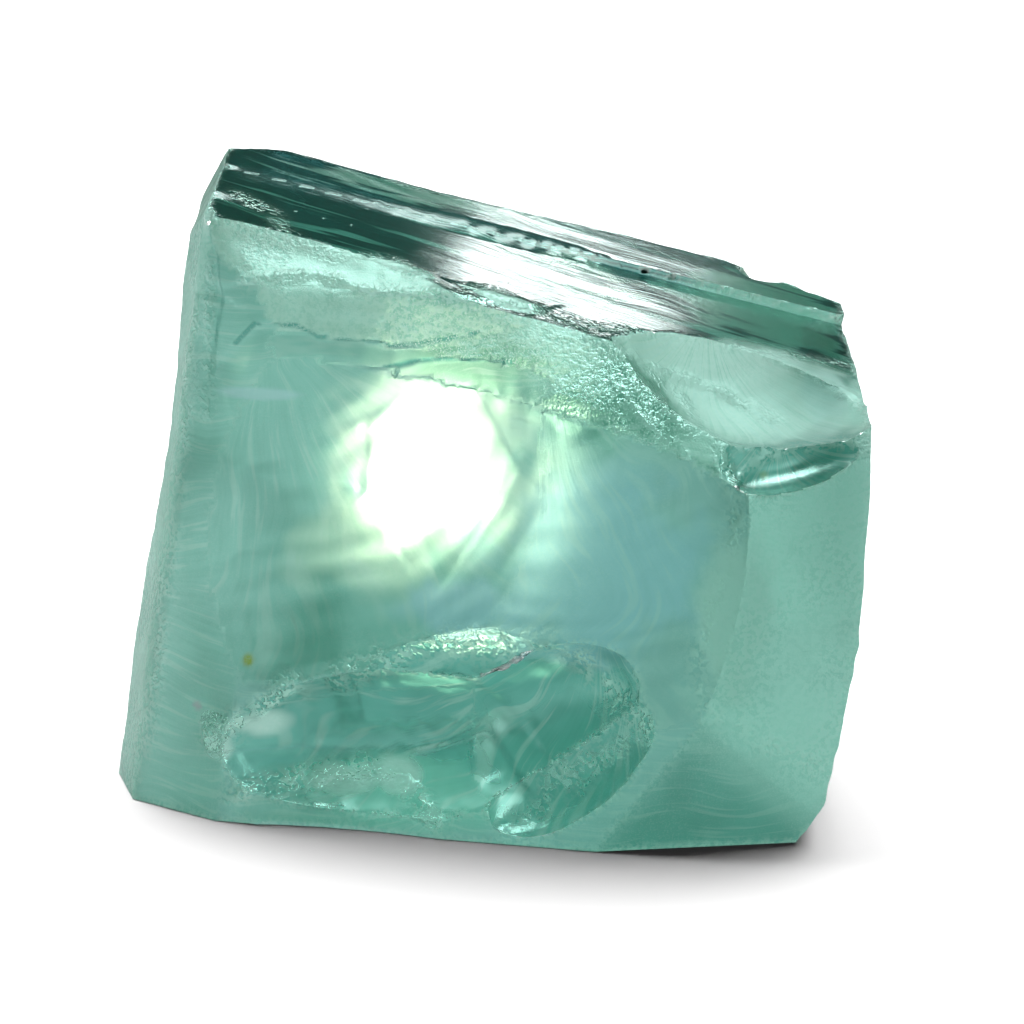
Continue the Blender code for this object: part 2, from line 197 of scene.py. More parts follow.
PATCHES = {
    # A pale patch painted where the lamp behind the stone shines through.
    "painted_glow": Patch((-2.4, -8.5, 22.8), (7.4, 7.0, 6.2), (1.0, 1.0, 0.90), 0.42, 0.0, 0.5, 1.0),
    "fan_pale": Patch((18.0, -5.0, 28.8), (6.0, 4.0, 2.6), (1.0, 1.0, 0.97), 0.66, 0.0, 1.0, 0.8),
    # A pale patch painted where that glow spreads below.
    "painted_glow_foot": Patch((-7.0, -7.0, 17.5), (5.0, 5.0, 3.5), (0.92, 1.0, 0.82), 0.42, 0.0, 0.5, 0.8),
    "ledge_shade": Patch((0.2, -8.2, 29.6), (5.0, 3.5, 1.9), (0.24, 0.46, 0.34), 0.44, 0.0, 0.5, 0.9),
    "blue_face": Patch((6.8, -11.5, 17.5), (8.0, 6.0, 6.5), (0.42, 0.64, 0.88), 0.52, 0.0, 0.25, 0.9),
    "blue_low": Patch((-1.0, -10.0, 14.6), (5.0, 4.0, 2.0), (0.54, 0.72, 1.0), 0.50, 0.0, 0.3, 0.9),
    "blue_dash": Patch((-13.6, -6.0, 27.1), (3.0, 2.0, 0.45), (0.72, 0.84, 1.0), 0.55, 0.0, 0.0, 0.9),
    # A lilac patch painted where the fan shows a lilac sheen.
    "fan_painted_lilac_sheen": Patch((21.4, -6.0, 27.0), (1.7, 3.0, 2.6), (0.86, 0.95, 1.0), 0.60, 0.0, 0.3, 0.9),
    "fan_end": Patch((24.0, -6.0, 27.0), (1.5, 5.0, 4.5), (0.52, 0.84, 0.74), 0.55, 0.0, 0.0, 0.9),
    # A white patch painted where the right facet shows its brightest sheen.
    "facet_painted_sheen": Patch((15.8, -13.6, 15.0), (2.6, 2.5, 6.0), (1.0, 1.0, 1.0), 0.85, 0.0, 0.0, 1.0),
    "green_brow": Patch((9.5, -10.0, 27.5), (5.0, 4.0, 3.6), (0.18, 0.44, 0.32), 0.16, 0.0, 0.4, 0.9),
    "pit_shade": Patch((19.2, -11.5, 25.0), (5.0, 3.5, 1.6), (0.03, 0.24, 0.20), 0.55, 0.0, 0.2, 1.0),
    # Painted shade: a dark patch inside the right of the lower hollow.
    "hollow_right": Patch((4.2, -9.5, 5.0), (5.5, 4.5, 4.5), (0.08, 0.32, 0.29), 0.30, 0.05, 0.3, 0.9),
    "hollow_floor": Patch((-4.5, -9.0, 2.6), (8.0, 4.5, 2.2), (0.27, 0.70, 0.60), 0.34, 0.0, 0.5, 0.8),
    # White patches painted as glints on the arch and the toe.
    "arch_shine": Patch((-14.3, -6.3, 6.4), (2.6, 3.0, 1.1), (1.0, 1.0, 1.0), 0.10, 0.0, 0.0, 1.0),
    "arch_shine_low": Patch((-16.2, -5.8, 4.6), (1.2, 3.0, 1.1), (1.0, 1.0, 1.0), 0.10, 0.0, 0.0, 1.0),
    "toe_shine_left": Patch((-8.4, -7.6, 2.7), (2.2, 3.0, 0.8), (1.0, 1.0, 1.0), 0.10, 0.0, 0.0, 1.0),
    "toe_shine": Patch((-4.9, -8.4, 3.1), (1.5, 3.0, 1.0), (1.0, 1.0, 1.0), 0.10, 0.0, 0.0, 1.0),
    "toe_shine_right": Patch((-2.6, -8.9, 1.2), (1.2, 3.0, 0.9), (1.0, 1.0, 1.0), 0.10, 0.0, 0.0, 1.0),
    "speck_gold": Patch((-14.2, -6.3, 10.4), (0.42, 2.5, 0.45), (0.42, 0.36, 0.03), 0.30, 0.0, 0.0, 1.0),
    "speck_rose": Patch((-17.6, -6.4, 7.1), (0.36, 2.0, 0.30), (0.62, 0.42, 0.52), 0.30, 0.0, 0.0, 1.0),
    "pit_gold": Patch((17.3, -13.5, 23.3), (0.50, 2.5, 0.40), (0.52, 0.50, 0.10), 0.30, 0.0, 0.0, 1.0),
    "top_back": Patch((-2.0, 9.0, 37.0), (14.0, 2.2, 4.0), (0.60, 0.92, 0.80), 0.14, 0.45, 0.0, 0.9),
    "top_middle": Patch((5.5, 1.5, 33.5), (6.5, 4.5, 4.0), (0.95, 1.0, 0.94), 0.10, 0.45, 0.0, 0.9),
    "top_right": Patch((19.5, 3.5, 30.5), (8.0, 8.0, 5.0), (0.15, 0.48, 0.36), 0.20, 0.35, 0.0, 0.9),
}

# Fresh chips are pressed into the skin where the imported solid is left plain.
CHIPS = {
    "hollow_crown": Hollow((-1.2, -10.7, 11.2), (-0.2, -0.97, 0.06), 7.5, 2.4, 1.1, 0.60, 3.0, 30.0, "shaded_hollow"),
    "hollow_point": Hollow((6.4, -12.5, 6.4), (-0.22, -0.96, -0.15), 6.4, 3.0, 1.5, 0.50, 44.0, 30.0, "shaded_hollow"),
    "hollow_mouth": Hollow((-7.6, -9.8, 2.6), (-0.20, -0.94, -0.25), 6.6, 1.5, 1.1, 0.50, -3.0, 30.0, "shaded_hollow"),
    "pit_deep": Hollow((18.5, -12.1, 25.0), (0.10, -0.85, 0.50), 4.4, 2.3, 1.4, 0.40, 10.0, 90.0, "shaded_hollow"),
    "fan_back": Hollow((17.6, -6.6, 29.1), (0.12, -0.62, 0.78), 8.6, 3.4, 1.5, 0.45, -13.0, 150.0, "cream"),
    "back_nick": Hollow((19.0, 9.6, 31.6), (0.10, 0.30, 0.95), 1.6, 2.2, 0.5, 0.4, 0.0, 40.0, "bevel"),
    "edge_chip_a": Hollow((-9.5, -4.4, 36.4), (0.05, -0.5, 0.86), 2.2, 0.8, 0.35, 0.4, -14.0, 30.0, "bevel"),
    "edge_chip_b": Hollow((-3.6, -4.2, 34.9), (0.05, -0.5, 0.86), 2.8, 1.0, 0.4, 0.4, -14.0, 200.0, "bevel"),
    "edge_chip_c": Hollow((2.6, -5.3, 33.1), (0.05, -0.5, 0.86), 2.4, 1.1, 0.4, 0.4, -16.0, 90.0, "bevel"),
}

# The net over the solid, and the side of the stone where its faces are half as large.
SKIN_DEPTH = 7
SKIN_SCALE = 0.845
FORWARD = Vector((0.05, -0.85, 0.50)).normalized()
FORWARD_SHARE = 0.12

# A point belongs to a face or a bowl that it lies this close to and faces the same way as.
OFF_FACE = 0.30
OFF_BOWL = 0.25
SAME_WAY = 12
# The streaks on the top run this way.
TOP_GRAIN = Vector((1, -0.17, -0.275)).normalized()

# These forms run into each other without a hard ridge.
SOFT_FORMS = (
    {"front", "front_hollow", "face_hollow", "left_front", "lower_ledge", "upper_ledge", "brow", "left_cheek",
     "bevel_flake"},
    {"foot_hollow", "foot_hollow_right"},
    {"back", "back_left", "back_right", "back_high"},
)
MELT_ROUNDS = 70
INSIDE_SOFT = (0.80, 0.98)
NEAR_RIDGE = (0.005, 0.06)
# The steps on the top wear down well inside it, from right to left between two places across the stone.
INSIDE_TOP = (0.72, 0.90)
WORN_ACROSS = (9.0, 3.0)
# No ridge is chipped there.
TOP_UNCHIPPED = (0.55, 0.85)

# A ridge is dull below the first bend and fully broken that much further on.
RIDGE_BEND = math.radians(10)
RIDGE_RANGE = math.radians(22)
SHARP_EDGE = math.radians(38)

# The skin's relief: how high it is uneven, rippled, streaked, bitten and stepped, and how far that reaches.
BROAD_UNEVEN = 0.10
FINE_UNEVEN = 0.06
TOP_EVENED = 0.90
RIPPLE = 0.035
RIPPLE_PACE = 3.6
TOP_STREAK = 0.015
RIDGE_BITE = 0.22
STEP_SIDE = (-0.15, 0.25)
STEP_REACH = 2.2
FLAT_FOOT = (0.05, 0.9)
FLOW_SWAY = 0.9

# Soft clouds dim the tint, and a patch fades out over its rim.
CLOUD_DIM = 0.16
PATCH_RIM = (0.55, 1.15)


# ---------------------------------------------------------------------------------------------------------------
# The skin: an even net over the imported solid, finer in front.

def fine_skin(node):
    """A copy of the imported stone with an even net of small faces, in half-size faces where it looks forward."""
    solid = bmesh.new()
    solid.from_mesh(node.data)
    bmesh.ops.remove_doubles(solid, verts=solid.verts, dist=1e-6)
    blank_mesh = bpy.data.meshes.new("aquamarine_blank")
    solid.to_mesh(blank_mesh)
    solid.free()
    blank = bpy.data.objects.new("aquamarine_blank", blank_mesh)
    bpy.context.scene.collection.objects.link(blank)
    net = blank.modifiers.new("net", "REMESH")
    net.mode = "SHARP"
    net.octree_depth = SKIN_DEPTH
    net.scale = SKIN_SCALE
    net.use_remove_disconnected = False
    mesh = bpy.data.meshes.new_from_object(blank.evaluated_get(bpy.context.evaluated_depsgraph_get()))
    bpy.data.objects.remove(blank)
    bpy.data.meshes.remove(blank_mesh)

    skin = bmesh.new()
    skin.from_mesh(mesh)
    bpy.data.meshes.remove(mesh)
    bmesh.ops.remove_doubles(skin, verts=skin.verts, dist=0.02 * MM)
    skin.normal_update()
    forward = [face for face in skin.faces if face.normal.dot(FORWARD) > FORWARD_SHARE]
    edges = list({edge for face in forward for edge in face.edges})
    bmesh.ops.subdivide_edges(skin, edges=edges, cuts=1, use_grid_fill=True)
    bmesh.ops.triangulate(skin, faces=[face for face in skin.faces if len(face.verts) > 4])
    bmesh.ops.recalc_face_normals(skin, faces=skin.faces)
    skin.normal_update()
    return skin


def hollow_axes(hollow):
    """A hollow's own axes, across, up and out, and the way it opens."""
    out = Vector(hollow.opens).normalized()
    across = UP.cross(out).normalized()
    up = out.cross(across)
    return (Matrix((across, up, out)).transposed() @ Matrix.Rotation(math.radians(hollow.turn), 3, "Z"), out)


def on_hollow(points, hollow):
    """Each point's nearest place on a hollow's bowl, the bowl's facing there and the way from its struck point."""
    reach = hollow.depth / (1 - hollow.slack)
    spread = math.sqrt(1 - hollow.slack ** 2)
    radii = np.array((hollow.length / spread, hollow.height / spread, reach))
    blow = math.radians(hollow.blow)
    struck = Vector((math.cos(blow), math.sin(blow), -hollow.slack)).normalized()
    axes, out = hollow_axes(hollow)
    axes = np.array(axes)
    centre = np.array(hollow.at) + np.array(out) * (reach - hollow.depth)
    ball = (points - centre) @ axes / radii
    far = np.linalg.norm(ball, axis=1, keepdims=True)
    ball = ball / np.maximum(far, 1e-9)
    pole = ball @ np.array(UP.rotation_difference(struck).to_matrix())
    lobe = np.sin(LOBES * np.arctan2(pole[:, 1], pole[:, 0]) + blow) * (1 - pole[:, 2] ** 2)
    ball = ball * (1 + LOBE_SWELL * lobe[:, None])
    nearest = (ball * radii) @ axes.T + centre
    facing = -(ball / radii) @ axes.T
    facing /= np.linalg.norm(facing, axis=1, keepdims=True)
    from_blow = (ball - np.array(struck)) * radii
    return nearest, facing, from_blow


def smoothstep(value, low, high):
    """Rises from 0 to 1 between low and high."""
    t = np.clip((value - low) / (high - low), 0, 1)
    return t * t * (3 - 2 * t)


class Skin:
    """The skin's points, facings and neighbours as arrays, in millimetres."""

    def __init__(self, mesh):
        self.mesh = mesh
        mesh.verts.index_update()
        self.points = np.array([vert.co for vert in mesh.verts]) / MM
        self.edges = np.array([(edge.verts[0].index, edge.verts[1].index) for edge in mesh.edges])
        self.count = 1 + np.bincount(self.edges.ravel(), minlength=len(self.points))

    def refresh(self):
        """Puts the points back into the mesh and reads its facings and bends again."""
        for vert, point in zip(self.mesh.verts, self.points * MM):
            vert.co = point
        self.mesh.normal_update()
        self.facing = np.array([vert.normal for vert in self.mesh.verts])
        self.bend = np.array([edge.calc_face_angle_signed(0.0) for edge in self.mesh.edges])

    def spread(self, values, rounds):
        """Averages values with their neighbours' a number of times."""
        a, b = self.edges.T
        for _ in range(rounds):
            total = np.bincount(a, values[b], len(values)) + np.bincount(b, values[a], len(values))
            values = (values + total) / self.count
        return values


LATTICE = np.random.default_rng(11).uniform(-0.5, 0.5, (64, 64, 64))


def fine_noise(points, size, stretch=(1, 1, 1), seed=0):
    """Smooth noise of about the given size in millimetres, longer along the axes with a larger stretch."""
    places = points / (size * np.array(stretch)) + 7.3 * seed
    corner = np.floor(places).astype(int)
    part = places - corner
    part = part * part * (3 - 2 * part)
    total = np.zeros(len(points))
    for i, j, k in np.ndindex(2, 2, 2):
        weight = np.abs(1 - np.array((i, j, k)) - part).prod(1)
        x, y, z = ((corner + (i, j, k)) % 64).T
        total += weight * LATTICE[x, y, z]
    return 1.6 * total


def from_stroke(points, facing, stroke):
    """How far each point is from a stroke, and how far to its lower side it lies."""
    nearest = np.full(len(points), 1e9)
    side = np.zeros(len(points))
    for start, end in zip(stroke.points, stroke.points[1:]):
        start, along = np.array(start), np.array(end) - np.array(start)
        share = np.clip((points - start) @ along / (along @ along), 0, 1)
        off = points - (start + share[:, None] * along)
        off -= 0.85 * (off * facing).sum(1)[:, None] * facing
        far = np.linalg.norm(off, axis=1)
        lower = np.cross(facing, along)
        lower *= np.where(lower[:, 2] > 0, -1.0, 1.0)[:, None]
        lower /= np.linalg.norm(lower, axis=1, keepdims=True) + 1e-9
        closer = far < nearest
        nearest = np.where(closer, far, nearest)
        side = np.where(closer, (off * lower).sum(1), side)
    return nearest, side


def shares_of_forms(points, facing):
    """How much each point belongs to each face and hollow, the bowls' true places, and the flow of their lines."""
    near, flows, bowls = {}, {}, {}
    for name, cleave in CLEAVES.items():
        normal = Vector(cleave.facing).normalized()
        along = TOP_GRAIN if name == "top" else (UP.cross(normal) if abs(normal.z) < 0.9 else Vector((1, 0, 0)))
        along = (along - along.dot(normal) * normal).normalized()
        over = np.array(normal.cross(along))
        off = (points - np.array(cleave.at)) @ np.array(normal)
        near[name] = np.exp(-(off / OFF_FACE) ** 2) * np.clip(facing @ np.array(normal), 0, 1) ** SAME_WAY
        flows[name] = np.stack((points @ np.array(along), points @ over), axis=1)
    for name, hollow in {**HOLLOWS, **CHIPS}.items():
        nearest, bowl_facing, from_blow = on_hollow(points, hollow)
        off = np.linalg.norm(nearest - points, axis=1)
        near[name] = np.exp(-(off / OFF_BOWL) ** 2) * np.clip((facing * bowl_facing).sum(1), 0, 1) ** SAME_WAY
        far = np.linalg.norm(from_blow, axis=1)
        flows[name] = np.stack((far, 6.0 * np.arctan2(from_blow[:, 1], from_blow[:, 0])), axis=1)
        bowls[name] = (nearest, far)
    total = sum(near.values()) + 1e-9
    shares = {name: value / total for name, value in near.items()}
    chosen = np.argmax(np.array(list(shares.values())), axis=0)
    flow = np.array(list(flows.values()))[chosen, np.arange(len(points))]
    return shares, bowls, np.column_stack((flow, 5.0 * chosen))


def press_chips(skin):
    """Points inside a fresh chip's bowl move out to its wall."""
    for chip in CHIPS.values():
        nearest, _, _ = on_hollow(skin.points, chip)
        centre = np.array(chip.at) + np.array(hollow_axes(chip)[1]) * (chip.depth * chip.slack / (1 - chip.slack))
        inside = np.linalg.norm(skin.points - centre, axis=1) < np.linalg.norm(nearest - centre, axis=1)
        skin.points[inside] = nearest[inside]


def ridges_of(skin):
    """How near each point is to an outward ridge, from 0 to 1."""
    sharp = np.clip((skin.bend - RIDGE_BEND) / RIDGE_RANGE, 0, 1)
    ridge = np.zeros(len(skin.points))
    np.maximum.at(ridge, skin.edges[:, 0], sharp)
    np.maximum.at(ridge, skin.edges[:, 1], sharp)
    return skin.spread(ridge, 3)


def smooth_bowls(points, shares, bowls):
    """The bowls lose their flats."""
    for name, (nearest, _) in bowls.items():
        shift = nearest - points
        shift[np.linalg.norm(shift, axis=1) > OFF_BOWL] = 0
        points += shift * smoothstep(shares[name], 0.55, 0.85)[:, None]


def melt_ridges(skin, shares):
    """Ridges between soft forms melt into each other and steps on the top wear down. Gives what ridge is left."""
    points, ridge = skin.points, ridges_of(skin)
    melt = np.zeros(len(points))
    for forms in SOFT_FORMS:
        soft = sum(shares[name] for name in forms)
        melt = np.maximum(melt, smoothstep(skin.spread(soft, 6), *INSIDE_SOFT))
    top_share = skin.spread(shares["top"], 6)
    worn = smoothstep(top_share, *INSIDE_TOP) * smoothstep(points[:, 0], *WORN_ACROSS)
    melt = np.maximum(melt, worn) * smoothstep(skin.spread(ridge, 14), *NEAR_RIDGE)
    for _ in range(MELT_ROUNDS):
        for axis in range(3):
            points[:, axis] += melt * (skin.spread(points[:, axis], 1) - points[:, axis])
    return ridge * (1 - 0.8 * melt) * (1 - smoothstep(top_share, *TOP_UNCHIPPED))


def relief_of(points, shares, bowls, flow, ridge, sway):
    """Gentle unevenness, ripples round each struck point, streaks on the top and bites out of the ridges."""
    relief = BROAD_UNEVEN * fine_noise(points, 5.0, seed=1) + FINE_UNEVEN * fine_noise(points, 2.0, seed=4)
    relief *= 1 - TOP_EVENED * shares["top"]
    for name, (_, far) in bowls.items():
        relief += shares[name] * RIPPLE * np.sin(far * RIPPLE_PACE + 4.0 * sway) * (0.6 + 0.6 * sway)
    relief += shares["top"] * TOP_STREAK * fine_noise(flow, 1.3, (9, 1, 1), seed=7)
    return relief - ridge * RIDGE_BITE * (0.4 + fine_noise(points, 0.9, seed=3))


def draw_strokes(points, facing):
    """How far the strokes lift or sink each point, and the white rime, painted glint or dark crack that they leave.
    """
    relief, rime = np.zeros(len(points)), np.zeros(len(points))
    for number, stroke in enumerate(STROKES.values()):
        far, side = from_stroke(points, facing, stroke)
        broken = 0.75 + 1.2 * fine_noise(points, 0.8, seed=number)
        relief += stroke.rise * np.exp(-(far / stroke.width) ** 2) * broken
        relief -= stroke.step * smoothstep(side, *STEP_SIDE) * np.exp(-(far / STEP_REACH) ** 2)
        wide, whole = (1.5, 1.0) if stroke.rime > 0 else (0.8, 1.6)
        bloom = stroke.rime * np.exp(-(far / (stroke.width * wide)) ** 2) * np.clip(whole * broken, 0, 1)
        rime = np.where(np.abs(bloom) > np.abs(rime), bloom, rime)
    return relief, rime


def shape_stone(skin):
    """Chips, melts, ripples and breaks the skin, and keeps what the finish needs to know."""
    press_chips(skin)
    skin.refresh()
    points, facing = skin.points, skin.facing
    shares, bowls, flow = shares_of_forms(points, facing)
    smooth_bowls(points, shares, bowls)
    ridge = melt_ridges(skin, shares)

    sway = fine_noise(points, 4.0)
    relief = relief_of(points, shares, bowls, flow, ridge, sway)
    lift, rime = draw_strokes(points, facing)

    # the foot stays flat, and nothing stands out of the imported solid's box
    relief = (relief + lift) * smoothstep(points[:, 2], *FLAT_FOOT)
    points += facing * relief[:, None]
    np.clip(points, *(np.array(CAD_BOX) / MM), out=points)
    flow[:, 1] += FLOW_SWAY * sway
    return shares, flow, ridge, rime


def finishes_of(skin, shares):
    """The tint, frost, streaks, veils and grain of every point."""
    tint = np.zeros((len(skin.points), 3))
    frost, streak, veil, grain = (np.zeros(len(skin.points)) for _ in range(4))
    forms = {**CLEAVES, **HOLLOWS, **CHIPS}
    for name, share in shares.items():
        finish = FINISHES[forms[name].finish]
        tint += share[:, None] * np.array(finish.tint)
        frost += share * finish.frost
        streak += share * finish.streak
        veil += share * finish.veil
        grain += share * finish.grain
    cloud = smoothstep(fine_noise(skin.points, 5.0, seed=5) + 0.5 * fine_noise(skin.points, 1.7, seed=6), -0.1, 0.6)
    tint *= 1 - CLOUD_DIM * cloud[:, None]
    for number, patch in enumerate(PATCHES.values()):
        far = np.linalg.norm((skin.points - np.array(patch.at)) / np.array(patch.size), axis=1)
        far += 0.35 * fine_noise(skin.points, 2.4, seed=number) + 0.15 * fine_noise(skin.points, 0.8, seed=number)
        share = patch.share * (1 - smoothstep(far, *PATCH_RIM))
        tint += share[:, None] * (np.array(patch.tint) - tint)
        frost += share * (patch.frost - frost)
        streak += share * (patch.streak - streak)
        veil += share * (patch.veil - veil)
    patchy = smoothstep(fine_noise(skin.points, 3.0, seed=8) + 0.5 * fine_noise(skin.points, 1.0, seed=9), -0.3, 0.4)
    return tint, frost, streak, veil, grain * (0.4 + 0.6 * patchy)


def make_stone(node):
    """The finished crystal, with what its material needs on its points."""
    mesh = fine_skin(node)
    skin = Skin(mesh)
    shares, flow, ridge, rime = shape_stone(skin)
    skin.refresh()
    data = bpy.data.meshes.new("aquamarine_stone")
    mesh.to_mesh(data)
    mesh.free()
    data.shade_smooth()
    data.set_sharp_from_angle(angle=SHARP_EDGE)
    tint, frost, streak, veil, grain = finishes_of(skin, shares)
    for name, values in (("tint", tint), ("flow", flow)):
        values = values.astype(np.float32).ravel()
        data.attributes.new(name, "FLOAT_VECTOR", "POINT").data.foreach_set("vector", values)
    for name, values in (("frost", frost), ("streak", streak), ("veil", veil), ("grain", grain), ("ridge", ridge),
                         ("rime", rime)):
        data.attributes.new(name, "FLOAT", "POINT").data.foreach_set("value", values.astype(np.float32))
    stone = bpy.data.objects.new("aquamarine_stone", data)
    bpy.context.scene.collection.objects.link(stone)
    return stone


# ---------------------------------------------------------------------------------------------------------------
# Materials. Patterns read Object coordinates in millimetres, and what belongs to a surface rides on it as an
# attribute.

# Beryl's refraction, the colour of its depth, and the tint of what mirrors in it.
BERYL_IOR = 1.577
DEPTH_COLOUR = (0.12, 0.62, 0.50, 1)
DEPTH_DENSITY = 54.0
SHEEN_TINT = (0.55, 1.0, 0.90, 1.0)
# Colours of what lies over the skin's tint.
DARK_STREAK = (0.001, 0.045, 0.046, 1)
OPEN_CRACK = (0.05, 0.25, 0.22, 1)
WISP_SHADE = (0.68, 0.80, 0.76, 1)
WISP_PALE = (0.96, 1.0, 0.96, 1)
# White of bruised ridges, also painted as glints along arch_glint and toe_glint.
BRUISE_AND_GLINT_PALE = (0.96, 1.0, 0.97, 1)
GRAIN_SHADE = (0.45, 0.66, 0.62, 1)
SUGAR_PALE = (0.97, 1.0, 0.98, 1)
FLOOR_WHITE = (0.92, 0.92, 0.92, 1)


def group_of(name, inputs, outputs):
    """An empty node group with float and vector sockets, and the sockets of its input and output nodes."""
    group = bpy.data.node_groups.new(name, "ShaderNodeTree")
    kinds = {"f": "NodeSocketFloat", "v": "NodeSocketVector"}
    for in_out, sockets in (("INPUT", inputs), ("OUTPUT", outputs)):
        for socket, kind, *value in sockets:
            made = group.interface.new_socket(name=socket, in_out=in_out, socket_type=kinds[kind])
            if value:
                made.default_value = value[0]
    return group, group.nodes.new("NodeGroupInput").outputs, group.nodes.new("NodeGroupOutput").inputs


class Bench:
    """Puts nodes into one tree and joins their sockets."""

    def __init__(self, tree):
        self.nodes, self.links = tree.nodes, tree.links

    def set(self, socket, value):
        if isinstance(value, bpy.types.NodeSocket):
            self.links.new(value, socket)
        else:
            socket.default_value = value

    def add(self, kind, values=(), output=0, **settings):
        node = self.nodes.new("ShaderNode" + kind)
        for setting, value in settings.items():
            setattr(node, setting, value)
        for socket, value in dict(values).items():
            self.set(node.inputs[socket], value)
        return node.outputs[output]

    def math(self, operation, *values):
        return self.add("Math", dict(enumerate(values)), operation=operation)

    def times(self, vector, factors):
        return self.add("VectorMath", {0: vector, 1: factors}, operation="MULTIPLY")

    def noise(self, vector, scale, detail, roughness):
        return self.add("TexNoise", {"Vector": vector, "Scale": scale, "Detail": detail, "Roughness": roughness})

    def ramp(self, value, low, high, to_low=0.0, to_high=1.0):
        return self.add("MapRange", {"Value": value, "From Min": low, "From Max": high, "To Min": to_low,
                                     "To Max": to_high}, interpolation_type="SMOOTHSTEP")

    def mix(self, factor, a, b, blend="MIX"):
        return self.add("Mix", {0: factor, 6: a, 7: b}, output=2, data_type="RGBA", blend_type=blend)

    def attribute(self, name, output="Fac"):
        node = self.nodes.new("ShaderNodeAttribute")
        node.attribute_name = name
        return node.outputs[output]

    def group(self, group, **values):
        node = self.nodes.new("ShaderNodeGroup")
        node.node_tree = group
        for socket, value in values.items():
            self.set(node.inputs[socket.replace("_", " ")], value)
        return node.outputs


def lines_group():
    """Fine lines drawn out along the flow of a surface."""
    group, given, made = group_of("lines", [("Flow", "v"), ("Length", "f", 10.0), ("Width", "f", 0.6)],
                                  [("Height", "f")])
    bench = Bench(group)
    over = bench.math("DIVIDE", 1.0, given["Width"])
    drawn = bench.add("CombineXYZ", {"X": bench.math("DIVIDE", 1.0, given["Length"]), "Y": over, "Z": 1.0})
    bench.set(made["Height"], bench.noise(bench.times(given["Flow"], drawn), 1.0, 2.0, 0.6))
    return group


def grain_group():
    """Sugary grains of one size, as a height and as the mask of their bright tops."""
    group, given, made = group_of("grain", [("Place", "v"), ("Size", "f", 0.15), ("Low", "f", 0.4),
                                            ("High", "f", 0.6)], [("Mask", "f"), ("Height", "f")])
    bench = Bench(group)
    fine = bench.noise(given["Place"], bench.math("DIVIDE", 1.0, given["Size"]), 1.0, 0.6)
    bench.set(made["Mask"], bench.ramp(fine, given["Low"], given["High"]))
    bench.set(made["Height"], fine)
    return group


# What a surface shows besides its tint and frost, as sockets.
Marks = namedtuple("Marks", "thin sugar crumbs streak grainy dark pale_wisp dark_wisp crack bruise sparkle")


def marks_of(bench):
    """Where the skin is streaked, veiled, cracked, bruised, painted with glints and sugary, from its attributes and
    drawn patterns.
    """
    place = bench.times(bench.add("TexCoord", output="Object"), (1 / MM, 1 / MM, 1 / MM))
    flow = bench.attribute("flow", "Vector")
    streak, veil, grainy = (bench.attribute(name) for name in ("streak", "veil", "grain"))
    ridge, rime = bench.attribute("ridge"), bench.attribute("rime")

    lines, grains = lines_group(), grain_group()
    broad = bench.group(lines, Flow=flow, Length=13.0, Width=1.7)["Height"]
    thin = bench.group(lines, Flow=flow, Length=5.0, Width=0.30)["Height"]
    wisp = bench.group(lines, Flow=bench.times(flow, (1, 1, 3)), Length=8.0, Width=0.7)["Height"]
    sugar = bench.group(grains, Place=place, Size=0.11, Low=0.50, High=0.68)
    crumbs = bench.group(grains, Place=place, Size=0.34, Low=0.40, High=0.56)

    depth = bench.math("ADD", broad, bench.math("MULTIPLY_ADD", thin, 0.45, -0.225))
    depth = bench.math("ADD", depth, bench.math("MULTIPLY_ADD", streak, 0.5, -0.25))
    hackles = bench.math("MULTIPLY_ADD", bench.math("SUBTRACT", thin, 0.5), 0.8, wisp)
    return Marks(
        thin=thin, sugar=sugar, crumbs=crumbs, streak=streak, grainy=grainy,
        dark=bench.ramp(depth, 0.50, 0.62),
        dark_wisp=bench.math("MULTIPLY", bench.ramp(hackles, 0.50, 0.34), veil),
        pale_wisp=bench.math("MULTIPLY", bench.ramp(hackles, 0.52, 0.68, 0.0, 0.8), veil),
        crack=bench.ramp(rime, -0.15, -0.7),
        # Bruised ridges, and the painted glints of the glint strokes.
        bruise=bench.math("MULTIPLY", bench.math("MAXIMUM", ridge, rime), crumbs["Mask"]),
        sparkle=bench.math("MULTIPLY", grainy, sugar["Mask"]),
    )


def skin_colour(bench, marks):
    """The skin's tint, which holds painted glow, sheen and shade, with its wisps, streaks, cracks, bruises, painted
    glints and grains laid over it in turn.
    """
    colour = bench.mix(marks.dark_wisp, bench.attribute("tint", "Vector"), WISP_SHADE, "MULTIPLY")
    colour = bench.mix(marks.pale_wisp, colour, WISP_PALE)
    colour = bench.mix(marks.dark, colour, DARK_STREAK)
    colour = bench.mix(marks.crack, colour, OPEN_CRACK)
    colour = bench.mix(marks.bruise, colour, BRUISE_AND_GLINT_PALE)
    between_crumbs = bench.math("MULTIPLY", marks.grainy, bench.math("SUBTRACT", 1.0, marks.crumbs["Mask"]))
    colour = bench.mix(between_crumbs, colour, GRAIN_SHADE, "MULTIPLY")
    return bench.mix(marks.sparkle, colour, SUGAR_PALE)


def skin_height(bench, marks):
    """The finest relief, in millimetres: sugar and crumbs where the skin is grainy, bruised or under a painted glint,
    and thin lines.
    """
    height = bench.math("MULTIPLY", marks.sugar["Height"], bench.math("MULTIPLY", marks.grainy, 0.035))
    crumb_height = bench.ramp(marks.grainy, 0.5, 1.0, 0.0, 0.10)
    height = bench.math("MULTIPLY_ADD", marks.crumbs["Height"], crumb_height, height)
    line_height = bench.math("MULTIPLY_ADD", marks.streak, -0.010, 0.018)
    height = bench.math("MULTIPLY_ADD", marks.thin, line_height, height)
    return bench.math("MULTIPLY_ADD", marks.crumbs["Height"], bench.math("MULTIPLY", marks.bruise, 0.12), height)


